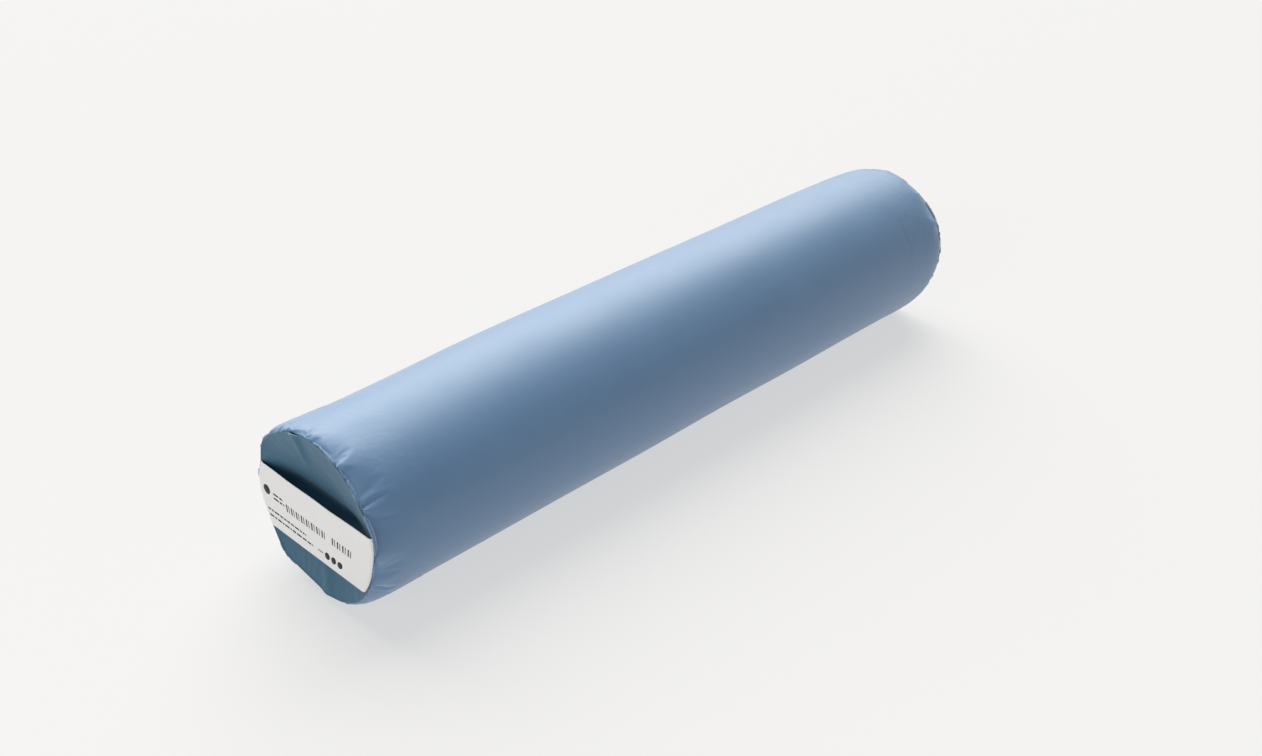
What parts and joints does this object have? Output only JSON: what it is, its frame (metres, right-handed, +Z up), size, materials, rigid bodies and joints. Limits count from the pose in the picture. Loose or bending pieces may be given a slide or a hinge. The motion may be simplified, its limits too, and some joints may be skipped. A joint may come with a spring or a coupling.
{
  "type": "bolster pillow",
  "caption": "Round foam bolster roll in a zipped satin-finish fabric cover, with sunken end discs and a plain sewn label band.",
  "frame": {"origin": "middle of the flat strip that the roll rests on, under the middle of its length", "axes": "+X along the roll, away from the end with the label; +Z up; the zip is at the back, on the +Y side"},
  "size_m": [0.4331, 0.0945, 0.09],
  "materials": {
    "cover_fabric": "smooth woven nylon with a satin sheen",
    "label_satin": "white woven satin with a small printed pattern of plain bars",
    "foam": "open-cell polyurethane foam",
    "sewing_thread": "spun polyester thread",
    "zip_tape": "woven polyester tape",
    "zip_coil": "drawn nylon monofilament",
    "zip_metal": "nickel-plated zinc, satin"
  },
  "bodies": {
    "root": {"cover_body": "cover_fabric", "end_disc_label": "cover_fabric", "end_disc_plain": "cover_fabric", "label_band": "label_satin", "foam_core": "foam", "end_seam_thread_label": "sewing_thread", "end_seam_thread_plain": "sewing_thread", "closing_seam_thread_label": "sewing_thread", "closing_seam_thread_plain": "sewing_thread", "zip_topstitch": "sewing_thread", "zip_tape_upper": "zip_tape", "zip_tape_lower": "zip_tape", "zip_coil_upper": "zip_coil", "zip_coil_lower": "zip_coil", "zip_top_stop_upper": "zip_metal", "zip_top_stop_lower": "zip_metal", "zip_bottom_stop": "zip_metal"},
    "slider": {"zip_slider": "zip_metal"},
    "pull": {"zip_pull": "zip_metal"}
  },
  "joints": [
    {"name": "slider_slide", "type": "slide", "parent": "root", "child": "slider", "axis": [1, 0, 0], "range_m": [0, 0.3284]},
    {"name": "pull_hinge", "type": "hinge", "parent": "slider", "child": "pull", "pos_m": [-0.1647, 0.04637, 0.06088], "axis": [0, -0.342, 0.9397], "range_deg": [0, 177]}
  ]
}
